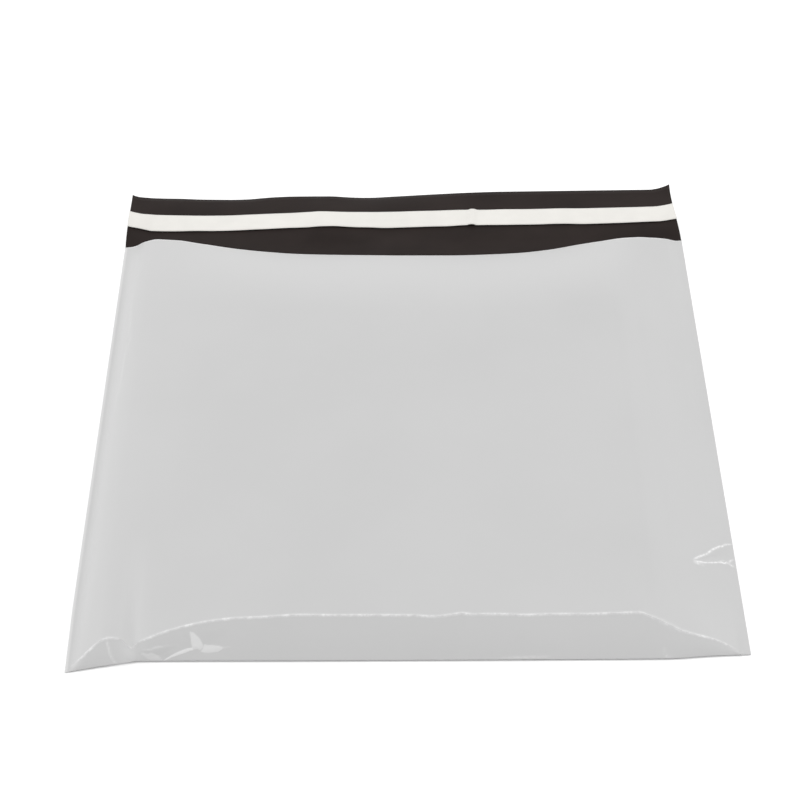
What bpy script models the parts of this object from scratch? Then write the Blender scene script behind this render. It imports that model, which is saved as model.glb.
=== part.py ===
"""Poly mailer bag, lying flat on its back panel with the flap unfolded.

One sheet of co-extruded film, grey outside and black inside, is folded across
the bottom, so that it makes the front panel, the back panel and the flap. The
two panels are welded together along both sides, and the mouth stays open. The
flap carries a strip of adhesive under a white release liner.

Units are metres, +Z is up. X runs across the bag, and Y runs from the bottom
fold to the flap's edge. The origin is in the middle of the whole length, on
the underside of the back panel.
"""

import math

import bmesh
import bpy
import numpy as np

# Driving sizes of the blank
BAG_WIDTH = 0.350
BAG_LENGTH = 0.350
FLAP_LENGTH = 0.0493
FILM_THICKNESS = 0.0001

# Adhesive strip and its liner, on the inner side of the flap
LINER_WIDTH = 0.0152
LINER_FROM_EDGE = 0.0190
LINER_THICKNESS = 0.0001
ADHESIVE_WIDTH = 0.012
ADHESIVE_THICKNESS = 0.0001
LAYER_GAP = 0.0003

# How the bag stands open
PANEL_HEIGHT = 0.021
MOUTH_HEIGHT = 0.006
MOUTH_DROOP = 0.0202
SEAM_WIDTH = 0.0035
FOLD_BOW = 0.005
RIDGE_REACH = 0.0132
SLOPE_BULGE = 0.0010
FLAP_LIFT = 0.008
LEFT_TUCK = 0.0007
RIGHT_TUCK = 0.0034
CORNER_REACH = 0.020
DENT_FROM_FOLD = 0.0627
DENT_REACH = 0.0225
DENT_TOP = 0.0173
DENT_FOOT = 0.0020
DENT_DEPTH = 0.0022
PLEAT_DEPTH = 0.0016

# Rows of the front panel lie between these five stations along it
FOLD, RIDGE, SHELF, SHOULDER, MOUTH = range(5)
SHELF_LENGTH = 0.038
SHOULDER_LENGTH = 0.075
VALLEY_FROM_SEAM = 0.035
VALLEY_WIDTH = 0.020
VALLEY_SHELF = 0.045
# and the rows of the flap between these shares of its length
LOWER_LINE, UPPER_LINE, EDGE_LINE = 0.32, 0.63, 1.0

# Grid of the sheet: (end of the stretch, segments in it)
LEFT_COLUMNS = ((SEAM_WIDTH, 1), (0.016, 4), (0.052, 12), (0.090, 6))
RIGHT_COLUMNS = ((SEAM_WIDTH, 1), (0.030, 6), (0.060, 6))
MIDDLE_COLUMNS = 16
SLOPE_ROWS = 3
SHELF_ROWS = 6
PLATEAU_ROWS = 13
SHOULDER_ROWS = 7
FLAP_ROWS = 5
STRIP_ROWS = 2

SHARP_ANGLE = math.radians(28)
WELD_REACH = 1e-6

GREY = (0.56, 0.57, 0.58, 1.0)
BLACK = (0.035, 0.033, 0.031, 1.0)
WHITE = (0.84, 0.83, 0.80, 1.0)
GLUE = (0.78, 0.76, 0.66, 1.0)

LEFT = -BAG_WIDTH / 2
RIGHT = BAG_WIDTH / 2
BOTTOM = -(BAG_LENGTH + FLAP_LENGTH) / 2


def curve_through(place, left, middle, right):
    """A smooth curve that never overshoots its points, read at each place across the bag.

    The points left and right are (distance in from that seam, value) pairs, and
    the points in the middle are (share of the half width, value) pairs.
    """
    points = [(LEFT + inset, value) for inset, value in left]
    points += [(share * RIGHT, value) for share, value in middle]
    points += [(RIGHT - inset, value) for inset, value in reversed(right)]
    knots, values = np.array(points).T
    steps = np.diff(knots)
    rises = np.diff(values) / steps
    before, after = rises[:-1], rises[1:]
    same_way = before * after > 0
    total = np.where(same_way, before + after, 1.0)
    inner = np.where(same_way, 2 * before * after / total, 0.0)
    slopes = np.concatenate([rises[:1], inner, rises[-1:]])
    index = np.clip(np.searchsorted(knots, place) - 1, 0, len(steps) - 1)
    step = steps[index]
    t = np.clip((place - knots[index]) / step, 0.0, 1.0)
    start = (1 + 2 * t) * (1 - t) ** 2 * values[index] + t * (1 - t) ** 2 * step * slopes[index]
    end = t**2 * (3 - 2 * t) * values[index + 1] + t**2 * (t - 1) * step * slopes[index + 1]
    return start + end


def fold_line(x):
    """Distance of the bottom fold ahead of its straight line, which the corners leave a little."""
    return FOLD_BOW * curve_through(
        x,
        ((0, -1.0), (0.021, -0.24), (0.038, 0.36), (0.120, 0.16)),
        ((0.33, -0.06),),
        ((0.0, 0.32), (0.021, 0.12), (0.043, -0.16)),
    )


def ridge_line(x):
    """Distance of the top crease from the straight fold line: an ear, a valley, then the ridge."""
    return RIDGE_REACH * curve_through(
        x,
        ((0, -0.08), (SEAM_WIDTH, -0.09), (0.008, -0.06), (0.015, 0.25), (0.022, 0.47),
         (0.028, 0.455), (VALLEY_FROM_SEAM, 0.227), (0.038, 0.40), (0.045, 0.47), (0.054, 0.60),
         (0.064, 0.735), (0.075, 0.84), (0.100, 0.925)),
        ((-0.3, 1.0), (0.05, 0.925), (0.5, 0.895)),
        ((0.0, 0.425), (SEAM_WIDTH, 0.38), (0.008, 0.227), (0.021, 0.364), (0.035, 0.53),
         (0.043, 0.712), (0.050, 0.85), (0.056, 0.925)),
    )


def ridge_share(x):
    """Height of the top crease, as a share of the panel's height."""
    return curve_through(
        x,
        ((0, 0), (SEAM_WIDTH, 0.04), (0.008, 0.24), (0.015, 0.48), (0.022, 0.62), (0.028, 0.56),
         (VALLEY_FROM_SEAM, 0.42), (0.038, 0.50), (0.045, 0.65), (0.054, 0.78), (0.064, 0.87),
         (0.075, 0.94), (0.090, 1.0)),
        ((0.0, 1.0),),
        ((0, 0), (SEAM_WIDTH, 0.04), (0.007, 0.12), (0.021, 0.40), (0.035, 0.60), (0.043, 0.75),
         (0.050, 0.88), (0.057, 1.0)),
    )


def panel_share(x):
    """Height of the front panel behind the ridge, as a share of its full height."""
    return curve_through(
        x,
        ((0, 0), (SEAM_WIDTH, 0.04), (0.008, 0.26), (0.013, 0.46), (0.020, 0.60), (0.035, 0.76),
         (0.060, 0.91), (0.095, 1.0)),
        ((0.0, 1.03),),
        ((0, 0), (SEAM_WIDTH, 0.04), (0.010, 0.14), (0.020, 0.31), (0.035, 0.60), (0.050, 0.86),
         (0.075, 1.0)),
    )


def mouth_share(x):
    """Height of the mouth's edge, as a share of its height in the middle, with a hump at each side."""
    return curve_through(
        x,
        ((0, 0), (SEAM_WIDTH, 0.14), (0.008, 0.42), (0.0135, 1.05), (0.022, 1.45), (0.033, 1.50),
         (0.048, 1.26), (0.070, 1.03), (0.090, 0.96)),
        ((0.0, 1.0),),
        ((0, 0), (SEAM_WIDTH, 0.14), (0.0105, 0.65), (0.020, 1.02), (0.028, 1.18), (0.039, 1.17),
         (0.052, 1.08), (0.070, 1.0)),
    )


def droop_share(x):
    """How far the mouth's edge is drawn back from the seams' ends, as a share of the most."""
    return curve_through(
        x,
        ((0, 0), (0.006, 0.06), (0.0095, 0.065), (0.013, 0.115), (0.020, 0.15), (0.029, 0.21),
         (0.042, 0.275), (0.054, 0.36), (0.073, 0.545), (0.092, 0.705), (0.105, 0.80),
         (0.123, 0.87)),
        ((-0.15, 0.93), (0.0, 0.985), (0.17, 1.0)),
        ((0, 0), (0.004, 0.07), (0.0095, 0.145), (0.013, 0.18), (0.023, 0.245), (0.033, 0.265),
         (0.039, 0.29), (0.052, 0.40), (0.065, 0.53), (0.0775, 0.70), (0.084, 0.78),
         (0.1025, 0.915), (0.121, 0.965)),
    )


def flap_lower_share(x):
    """Height of the unfolded flap along its lower line, as a share of its highest corner."""
    return curve_through(
        x,
        ((0, 0.60), (0.0023, 0.50), (0.0048, 0.425), (0.0074, 0.34), (0.010, 0.25),
         (0.0125, 0.16), (0.015, 0.08), (0.020, 0.045), (0.030, 0.01), (0.060, 0.0),
         (0.070, 0.02), (0.083, 0.09), (0.102, 0.19), (0.115, 0.265), (0.1235, 0.335),
         (0.130, 0.325), (0.141, 0.22), (0.154, 0.145)),
        ((-0.07, 0.075), (0.03, 0.12), (0.17, 0.19), (0.22, 0.245), (0.30, 0.23)),
        ((0, 0.65), (0.005, 0.54), (0.0078, 0.48), (0.012, 0.41), (0.0185, 0.38), (0.028, 0.325),
         (0.048, 0.24), (0.061, 0.22), (0.0735, 0.27), (0.100, 0.23)),
    )


def flap_upper_share(x):
    """Height of the unfolded flap along its upper line, as a share of its highest corner."""
    return curve_through(
        x,
        ((0, 0.64), (0.0021, 0.55), (0.0047, 0.45), (0.0086, 0.34), (0.0125, 0.29),
         (0.018, 0.22), (0.025, 0.19), (0.0375, 0.125), (0.050, 0.08), (0.065, 0.085),
         (0.083, 0.16), (0.104, 0.25), (0.115, 0.33), (0.1215, 0.375), (0.128, 0.335),
         (0.141, 0.27)),
        ((-0.08, 0.23), (0.03, 0.26), (0.20, 0.34), (0.29, 0.31)),
        ((0, 0.74), (0.0023, 0.675), (0.0055, 0.60), (0.0086, 0.525), (0.0116, 0.46),
         (0.017, 0.41), (0.029, 0.39), (0.048, 0.35), (0.112, 0.34)),
    )


def flap_edge_share(x):
    """Height of the unfolded flap along its edge, as a share of its highest corner."""
    return curve_through(
        x,
        ((0, 0.63), (0.0016, 0.525), (0.003, 0.46), (0.006, 0.375), (0.010, 0.32),
         (0.0145, 0.26), (0.024, 0.205), (0.031, 0.175), (0.044, 0.075), (0.057, 0.025),
         (0.066, 0.0), (0.075, 0.025), (0.083, 0.11), (0.092, 0.20), (0.104, 0.25),
         (0.128, 0.225), (0.141, 0.09), (0.150, 0.035)),
        ((-0.12, 0.03), (-0.03, 0.12), (0.10, 0.27), (0.25, 0.415)),
        ((0, 1.0), (0.003, 0.85), (0.006, 0.725), (0.0095, 0.60), (0.012, 0.54), (0.0145, 0.49),
         (0.018, 0.48), (0.112, 0.465)),
    )


def side_dent(x, y):
    """Depth of the small buckle in the right side: a wedge that opens towards the seam."""
    reach = np.clip((x - (RIGHT - DENT_REACH)) / (DENT_REACH - SEAM_WIDTH), 0.0, 1.0)
    foot = DENT_FROM_FOLD + DENT_FOOT * reach
    top = DENT_FROM_FOLD + DENT_TOP * (1 - (1 - reach) ** 1.6)
    half = np.maximum((top - foot) / 2, WELD_REACH)
    across = 1 - np.abs(y - (top + foot) / 2) / half
    return DENT_DEPTH * np.clip(across, 0.0, 1.0) * np.sin(math.pi * reach)


def corner_pleats(x, share):
    """Depth of the two crumples pressed into the slope beside the left corner."""
    depth = np.zeros_like(x * share)
    for inset, half, height in ((0.073, 0.013, 0.38), (0.048, 0.011, 0.25)):
        near = 1 - np.abs(x - LEFT - inset) / half
        up = 1 - np.abs(share - height) / height
        depth = np.maximum(depth, PLEAT_DEPTH * np.clip(np.minimum(near, up), 0.0, 1.0))
    return depth


def front_panel(x, station):
    """Place of the front panel's outer face, for stations from the fold to the mouth."""
    fold = fold_line(x)
    ridge = ridge_line(x)
    mouth = BAG_LENGTH - MOUTH_DROOP * droop_share(x)
    ridge_height = PANEL_HEIGHT * ridge_share(x)
    panel_height = PANEL_HEIGHT * panel_share(x)
    mouth_height = MOUTH_HEIGHT * mouth_share(x)
    valley = np.exp(-(((x - LEFT - VALLEY_FROM_SEAM) / VALLEY_WIDTH) ** 2))
    shelf = ridge + SHELF_LENGTH + VALLEY_SHELF * valley
    shoulder = mouth - SHOULDER_LENGTH

    up = np.clip(station - FOLD, 0.0, 1.0)
    steepness = ridge_height / np.hypot(ridge_height, ridge - fold)
    press = SLOPE_BULGE * steepness * np.sin(math.pi * up) - corner_pleats(x, up) * steepness
    slope_y = fold + (ridge - fold) * up - press * steepness
    slope_z = ridge_height * up + press * np.sqrt(1 - steepness**2)

    back = np.clip(station - RIDGE, 0.0, 1.0)
    level = np.clip(station - SHELF, 0.0, 1.0)
    down = np.clip(station - SHOULDER, 0.0, 1.0)
    top_y = ridge + (shelf - ridge) * back + (shoulder - shelf) * level + (mouth - shoulder) * down
    top_z = ridge_height + (panel_height - ridge_height) * (1 - (1 - back) ** 2)
    top_z = top_z + (mouth_height - panel_height) * down**1.8
    top_z = np.maximum(top_z - side_dent(x, top_y), np.minimum(top_z, 0.3 * panel_height))

    on_slope = station < RIDGE
    y = np.where(on_slope, slope_y, top_y)
    z = np.where(on_slope, slope_z, top_z)
    return y + BOTTOM, z


def back_panel(x, station):
    """Place of the back panel's underside, whose seams match the front panel's rows."""
    left_y = front_panel(np.full_like(x, LEFT), station)[0]
    right_y = front_panel(np.full_like(x, RIGHT), station)[0]
    across = (x - LEFT) / BAG_WIDTH
    straight = left_y + (right_y - left_y) * across
    fold_ends = fold_line(np.array([LEFT, RIGHT]))
    bow = fold_line(x) - (fold_ends[0] + (fold_ends[1] - fold_ends[0]) * across)
    along = np.clip((straight - BOTTOM) / BAG_LENGTH, 0.0, 1.0)
    return straight + bow * (1 - along), np.zeros_like(x)


def flap_height(x, share):
    """Height of the flap: a cubic in the distance past the mouth, through the level mouth and the
    heights along the three lines across the flap."""
    lines = (
        (LOWER_LINE, flap_lower_share(x)),
        (UPPER_LINE, flap_upper_share(x)),
        (EDGE_LINE, flap_edge_share(x)),
    )
    height = np.zeros_like(x * share)
    for line, value in lines:
        weight = share / line
        for other, _ in lines:
            if other != line:
                weight = weight * (share - other) / (line - other)
        height = height + weight * value
    return FLAP_LIFT * np.maximum(height, 0.0)


def flap_place(x, past_mouth, lift):
    """Place on the flap at a distance past the mouth, its raised corners drawn in a little."""
    near_left = np.clip(1 - (x - LEFT) / CORNER_REACH, 0.0, 1.0) ** 2
    near_right = np.clip(1 - (RIGHT - x) / CORNER_REACH, 0.0, 1.0) ** 2
    share = past_mouth / FLAP_LENGTH
    drawn_in = (LEFT_TUCK * near_left - RIGHT_TUCK * near_right) * (1 - (1 - share) ** 2)
    return x + drawn_in, BOTTOM + BAG_LENGTH + past_mouth, flap_height(x, share) + lift


def column_places():
    """Where the columns of the sheet lie across the bag, close together beside the seams."""

    def insets(stretches):
        ends = [0.0]
        for end, count in stretches:
            ends += list(np.linspace(ends[-1], end, count + 1)[1:])
        return np.array(ends)

    left = LEFT + insets(LEFT_COLUMNS)
    right = (RIGHT - insets(RIGHT_COLUMNS))[::-1]
    middle = np.linspace(left[-1], right[0], MIDDLE_COLUMNS + 1)[1:-1]
    return np.concatenate([left, middle, right])


def row_stations():
    """The front panel's rows, as stations from the fold to the mouth."""
    slope = np.linspace(FOLD, RIDGE, SLOPE_ROWS + 1)
    shelf = RIDGE + np.linspace(0, 1, SHELF_ROWS + 1)[1:] ** 1.5
    plateau = SHELF + np.linspace(0, 1, PLATEAU_ROWS + 1)[1:] ** 1.6
    shoulder = np.linspace(SHOULDER, MOUTH, SHOULDER_ROWS + 1)[1:]
    return np.concatenate([slope, shelf, plateau, shoulder])


def flap_distances():
    """The flap's rows, as distances past the mouth."""
    return np.linspace(0, FLAP_LENGTH, FLAP_ROWS + 1)[1:]


def sheet_object(name, columns, rows, place, collection):
    """A flat grid of columns and rows, each vertex then put where place says."""
    bm = bmesh.new()
    bmesh.ops.create_grid(bm, x_segments=columns - 1, y_segments=rows - 1, size=1.0)
    mesh = bpy.data.meshes.new(name)
    bm.to_mesh(mesh)
    bm.free()
    flat = np.empty(len(mesh.vertices) * 3)
    mesh.vertices.foreach_get("co", flat)
    flat = flat.reshape(-1, 3)
    column = np.rint((flat[:, 0] + 1) / 2 * (columns - 1)).astype(int)
    row = np.rint((flat[:, 1] + 1) / 2 * (rows - 1)).astype(int)
    mesh.vertices.foreach_set("co", place(column, row).astype(np.float32).ravel())
    mesh.update()
    obj = bpy.data.objects.new(name, mesh)
    collection.objects.link(obj)
    return obj


def give_thickness(obj, thickness, offset, materials):
    """Turns an open sheet into a thin solid and shades it smooth between its creases."""
    for material in materials:
        obj.data.materials.append(material)
    obj.data.shade_smooth()
    obj.data.set_sharp_from_angle(angle=SHARP_ANGLE)
    solidify = obj.modifiers.new("film thickness", "SOLIDIFY")
    solidify.thickness = thickness
    solidify.offset = offset
    solidify.use_even_offset = True
    solidify.use_quality_normals = True
    solidify.use_rim = True
    solidify.material_offset = len(materials) - 1


def surface_material(name, color, roughness):
    material = bpy.data.materials.new(name)
    material.use_nodes = True
    principled = material.node_tree.nodes["Principled BSDF"]
    principled.inputs["Base Color"].default_value = color
    principled.inputs["Roughness"].default_value = roughness
    principled.inputs["Metallic"].default_value = 0.0
    material.diffuse_color = color
    return material


def close_sides(mesh, columns, back_rows):
    """Welds the panels along both sides, and makes the level middle of the back panel one face."""
    bm = bmesh.new()
    bm.from_mesh(mesh)
    bm.verts.ensure_lookup_table()
    inside_columns = range(1, columns - 1)
    level = {bm.verts[row * columns + column] for row in back_rows for column in inside_columns}
    faces = [face for face in bm.faces if all(vert in level for vert in face.verts)]
    bmesh.ops.dissolve_faces(bm, faces=faces, use_verts=True)
    side = [vert for vert in bm.verts if abs(abs(vert.co.x) - BAG_WIDTH / 2) < WELD_REACH]
    bmesh.ops.remove_doubles(bm, verts=side, dist=WELD_REACH)
    bmesh.ops.reverse_faces(bm, faces=bm.faces)
    bm.to_mesh(mesh)
    bm.free()


def make_film(collection):
    """The folded and welded sheet, in the order front panel, fold, back panel, flap."""
    across = column_places()
    stations = row_stations()
    front_count = len(stations)
    past_mouth = flap_distances()
    fold_row = front_count - 1
    mouth_row = 2 * fold_row

    def place(column, row):
        x = across[column]
        station = np.interp(np.abs(row - fold_row), np.arange(front_count), stations)
        front_y, front_z = front_panel(x, station)
        back_y, back_z = back_panel(x, station)
        flap_row = np.clip(row - mouth_row - 1, 0, len(past_mouth) - 1)
        flap = np.column_stack(flap_place(x, past_mouth[flap_row], 0.0))
        front = np.column_stack([x, front_y, front_z])
        back = np.column_stack([x, back_y, back_z])
        on_front = (row <= fold_row)[:, None]
        on_flap = (row > mouth_row)[:, None]
        return np.where(on_front, front, np.where(on_flap, flap, back))

    rows = mouth_row + 1 + len(past_mouth)
    film = sheet_object("mailer_film", len(across), rows, place, collection)
    close_sides(film.data, len(across), range(fold_row + 1, mouth_row))
    outside = surface_material("grey film outside", GREY, 0.38)
    inside = surface_material("black film inside", BLACK, 0.5)
    give_thickness(film, FILM_THICKNESS, -1.0, (outside, inside))
    return film


def make_strip(name, from_edge, width, lift, thickness, material, collection):
    """A strip across the flap, which follows the flap's shape at a height above the film."""
    across = column_places()
    edge = FLAP_LENGTH - from_edge
    past_mouth = np.linspace(edge - width, edge, STRIP_ROWS + 1)

    def place(column, row):
        return np.column_stack(flap_place(across[column], past_mouth[row], FILM_THICKNESS + lift))

    strip = sheet_object(name, len(across), STRIP_ROWS + 1, place, collection)
    give_thickness(strip, thickness, 1.0, (material,))
    return strip


def build_mailer():
    """Clears the scene and makes the film, the adhesive strip and its liner."""
    for obj in list(bpy.data.objects):
        bpy.data.objects.remove(obj, do_unlink=True)
    collection = bpy.data.collections.new("poly_mailer_bag")
    bpy.context.scene.collection.children.link(collection)
    make_film(collection)
    adhesive_from_edge = LINER_FROM_EDGE + (LINER_WIDTH - ADHESIVE_WIDTH) / 2
    glue = surface_material("adhesive", GLUE, 0.3)
    paper = surface_material("release liner", WHITE, 0.45)
    adhesive_lift = LAYER_GAP
    liner_lift = adhesive_lift + ADHESIVE_THICKNESS + LAYER_GAP
    make_strip("adhesive_strip", adhesive_from_edge, ADHESIVE_WIDTH, adhesive_lift,
               ADHESIVE_THICKNESS, glue, collection)
    make_strip("release_liner", LINER_FROM_EDGE, LINER_WIDTH, liner_lift,
               LINER_THICKNESS, paper, collection)


build_mailer()
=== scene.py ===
"""Open poly mailer bag on a white floor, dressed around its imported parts.

One sheet of film, grey outside and black inside, is folded across the bottom and
welded along both sides. Its flap lies unfolded and carries a strip of adhesive
under a white release liner. Units are metres: X runs across the bag, Y from the
bottom fold to the flap's edge and Z up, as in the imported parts.
"""

import math

import bpy
import numpy as np
from bpy.props import FloatProperty, FloatVectorProperty, PointerProperty
from mathutils import Matrix, Vector


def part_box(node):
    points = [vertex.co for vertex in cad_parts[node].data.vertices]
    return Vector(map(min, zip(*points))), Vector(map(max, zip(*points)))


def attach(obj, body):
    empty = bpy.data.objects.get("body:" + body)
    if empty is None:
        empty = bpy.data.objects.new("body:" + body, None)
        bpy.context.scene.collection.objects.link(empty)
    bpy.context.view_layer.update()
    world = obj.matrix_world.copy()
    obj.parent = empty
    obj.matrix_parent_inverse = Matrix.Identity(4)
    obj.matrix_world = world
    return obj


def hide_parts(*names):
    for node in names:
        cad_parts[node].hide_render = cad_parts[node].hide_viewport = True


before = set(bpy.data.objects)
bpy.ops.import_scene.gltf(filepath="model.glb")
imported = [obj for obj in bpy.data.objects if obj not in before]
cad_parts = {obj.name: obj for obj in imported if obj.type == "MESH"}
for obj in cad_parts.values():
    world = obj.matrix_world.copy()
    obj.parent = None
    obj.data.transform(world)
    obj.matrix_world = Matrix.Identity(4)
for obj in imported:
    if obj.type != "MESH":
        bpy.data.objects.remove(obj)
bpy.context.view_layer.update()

bl_info = {
    "name": "Poly Mailer Bag",
    "version": (1, 0, 0),
    "blender": (4, 5, 0),
    "location": "3D View > Sidebar > Mailer",
    "description": "Builds an open mailer bag of folded film with its adhesive strip and liner",
    "category": "Add Mesh",
}

FILM_LOW, FILM_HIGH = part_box("mailer_film")

# Stations along the front panel, from the bottom fold to the mouth
FOLD, RIDGE, SHELF, SHOULDER, MOUTH = range(5)
SHELF_LENGTH = 0.038
SHOULDER_LENGTH = 0.075
SHOULDER_CURVE = 1.8
VALLEY_FROM_SEAM = 0.035
VALLEY_WIDTH = 0.020
VALLEY_SHELF = 0.045

# How the film stands at the seams, the slope and the corners
SEAM_WIDTH = 0.0035
FOLD_BOW = 0.005
FOLD_RAISE_REACH = 0.006
RIDGE_REACH = 0.0132
SLOPE_BULGE = 0.0010
FLAP_LIFT = 0.008
LEFT_TUCK = 0.0007
RIGHT_TUCK = 0.0034
CORNER_REACH = 0.020
BOTTOM_TUCK = 0.0007
BOTTOM_TUCK_REACH = 0.040

# Beside the bottom corners the two panels all but meet, and the wall is thinned
MEETING_INSET = 0.012
MEETING_STATION = 1.5
MEETING_HEIGHT = 0.0006
THIN_WALL_SHARE = 0.05

# The buckle in the right side: where it lies, and how far its two lines open
DENT_FROM_FOLD = 0.0627
DENT_REACH = 0.0225
DENT_TOP = 0.0173
DENT_TOP_CURVE = 1.6
DENT_FOOT = 0.0020
DENT_DEPTH = 0.0011
DENT_LOWEST_SHARE = 0.3
# Pleats pressed into the slope: inset from the left seam, reach, share of the way up
PLEAT_DEPTH = 0.0008
PLEATS = ((0.073, 0.013, 0.38), (0.048, 0.011, 0.25))

# Long swells of the front panel, and short puckers beside each weld
SWELL_HEIGHT = 0.00028
SWELL_MARGIN = 0.05
SWELL_FROM_FOLD = 0.02
PUCKER_HEIGHT = 0.00016
PUCKER_INSET = 0.0055
PUCKER_WIDTH = 0.0035
PUCKER_SHIFT = 0.013
PUCKER_STATION = 1.1

# The strips' edges and the liner's surface wave a little, and a kink crosses the liner
ADHESIVE_EDGE_WAVE = 0.0004
LINER_EDGE_WAVE = 0.00008
LINER_WAVE = 0.00012
KINK_PLACE = 0.0434
KINK_LEAN = 0.001
KINK_WIDTH = 0.0022
KINK_HEIGHT = 0.0008

# Curves across the bag: (inset from the left seam, value) pairs, then (share of the
# half width, value) pairs in the middle, then (inset from the right seam, value) pairs
FOLD_LINE = (
    ((0, -1.0), (0.021, -0.27), (0.029, -0.09), (0.0335, 0.12), (0.038, 0.34), (0.120, 0.16)),
    ((0.33, -0.06),),
    ((0.0, 0.32), (0.021, 0.12), (0.043, -0.16)),
)
# How far the fold stands off the floor, in millimetres
FOLD_RAISE = (
    ((0, 0.15), (0.010, 0.45), (0.022, 1.0), (0.030, 1.4), (0.038, 0.8), (0.045, 0.65)),
    ((0.0, 0.65),),
    ((0, 0.1), (0.020, 0.6)),
)
RIDGE_LINE = (
    ((0, -0.08), (SEAM_WIDTH, -0.09), (0.008, -0.06), (0.015, 0.24), (0.020, 0.44),
     (0.024, 0.49), (0.029, 0.48), (VALLEY_FROM_SEAM, 0.227), (0.038, 0.40), (0.045, 0.47),
     (0.054, 0.60), (0.064, 0.735), (0.075, 0.84), (0.100, 0.925)),
    ((-0.3, 1.0), (0.05, 0.925), (0.5, 0.895)),
    ((0.0, 0.425), (SEAM_WIDTH, 0.38), (0.0058, 0.16), (0.008, 0.265), (0.0101, 0.31),
     (0.0158, 0.40), (0.021, 0.43), (0.035, 0.53), (0.043, 0.712), (0.050, 0.85),
     (0.0575, 0.93)),
)
RIDGE_SHARE = (
    ((0, 0), (SEAM_WIDTH, 0.04), (0.008, 0.24), (0.015, 0.47), (0.020, 0.585), (0.024, 0.62),
     (0.029, 0.59), (VALLEY_FROM_SEAM, 0.42), (0.038, 0.50), (0.045, 0.65), (0.054, 0.78),
     (0.064, 0.87), (0.075, 0.94), (0.090, 1.0)),
    ((0.0, 1.0),),
    ((0, 0), (SEAM_WIDTH, 0.04), (0.0058, 0.055), (0.008, 0.11), (0.0101, 0.17),
     (0.0158, 0.29), (0.021, 0.40), (0.035, 0.60), (0.043, 0.75), (0.050, 0.88),
     (0.0575, 1.0)),
)
PANEL_SHARE = (
    ((0, 0), (SEAM_WIDTH, 0.04), (0.008, 0.26), (0.013, 0.46), (0.020, 0.60), (0.035, 0.76),
     (0.060, 0.91), (0.095, 1.0)),
    ((0.0, 1.03),),
    ((0, 0), (SEAM_WIDTH, 0.04), (0.010, 0.14), (0.020, 0.31), (0.035, 0.60), (0.050, 0.86),
     (0.075, 1.0)),
)
MOUTH_SHARE = (
    ((0, 0), (SEAM_WIDTH, 0.14), (0.008, 0.42), (0.0135, 1.05), (0.022, 1.45), (0.033, 1.50),
     (0.048, 1.26), (0.070, 1.03), (0.090, 0.96)),
    ((0.0, 1.0),),
    ((0, 0), (SEAM_WIDTH, 0.14), (0.0105, 0.65), (0.020, 1.02), (0.028, 1.18), (0.039, 1.17),
     (0.052, 1.08), (0.070, 1.0)),
)
DROOP_SHARE = (
    ((0, 0), (0.006, 0.06), (0.0095, 0.065), (0.013, 0.115), (0.020, 0.15), (0.029, 0.21),
     (0.042, 0.275), (0.054, 0.36), (0.073, 0.545), (0.092, 0.705), (0.105, 0.80),
     (0.123, 0.87)),
    ((-0.15, 0.93), (0.0, 0.985), (0.17, 1.0)),
    ((0, 0), (0.004, 0.07), (0.0095, 0.145), (0.013, 0.18), (0.023, 0.245), (0.033, 0.265),
     (0.039, 0.29), (0.052, 0.40), (0.065, 0.53), (0.0775, 0.70), (0.084, 0.78),
     (0.1025, 0.915), (0.121, 0.965)),
)
FLAP_LOWER = (
    ((0, 0.60), (0.0023, 0.50), (0.0048, 0.425), (0.0074, 0.34), (0.010, 0.25),
     (0.0125, 0.16), (0.015, 0.08), (0.020, 0.045), (0.030, 0.01), (0.060, 0.0),
     (0.070, 0.02), (0.083, 0.09), (0.102, 0.19), (0.115, 0.265), (0.1235, 0.335),
     (0.130, 0.325), (0.141, 0.22), (0.154, 0.145)),
    ((-0.07, 0.075), (0.03, 0.12), (0.17, 0.19), (0.22, 0.245), (0.30, 0.23)),
    ((0, 0.65), (0.005, 0.54), (0.0078, 0.48), (0.012, 0.41), (0.0185, 0.38), (0.028, 0.325),
     (0.048, 0.24), (0.061, 0.22), (0.0735, 0.27), (0.100, 0.23)),
)
FLAP_UPPER = (
    ((0, 0.64), (0.0021, 0.55), (0.0047, 0.45), (0.0086, 0.34), (0.0125, 0.29),
     (0.018, 0.22), (0.025, 0.19), (0.0375, 0.125), (0.050, 0.08), (0.065, 0.085),
     (0.083, 0.16), (0.104, 0.25), (0.115, 0.33), (0.1215, 0.375), (0.128, 0.335),
     (0.141, 0.27)),
    ((-0.08, 0.23), (0.03, 0.26), (0.20, 0.34), (0.29, 0.31)),
    ((0, 0.74), (0.0023, 0.675), (0.0055, 0.60), (0.0086, 0.525), (0.0116, 0.46),
     (0.017, 0.41), (0.029, 0.39), (0.048, 0.35), (0.112, 0.34)),
)
FLAP_EDGE = (
    ((0, 0.63), (0.0016, 0.525), (0.003, 0.46), (0.006, 0.375), (0.010, 0.32),
     (0.0145, 0.26), (0.024, 0.205), (0.031, 0.175), (0.044, 0.075), (0.057, 0.025),
     (0.066, 0.0), (0.075, 0.025), (0.083, 0.11), (0.092, 0.20), (0.104, 0.25),
     (0.128, 0.225), (0.141, 0.09), (0.150, 0.035)),
    ((-0.12, 0.03), (-0.03, 0.12), (0.10, 0.27), (0.25, 0.415)),
    ((0, 1.0), (0.003, 0.85), (0.006, 0.725), (0.0095, 0.60), (0.012, 0.54), (0.0145, 0.49),
     (0.018, 0.48), (0.112, 0.465)),
)
# The flap's height is read along lines at these shares of its length
FLAP_LINES = ((0.32, FLAP_LOWER), (0.63, FLAP_UPPER), (1.0, FLAP_EDGE))
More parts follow.
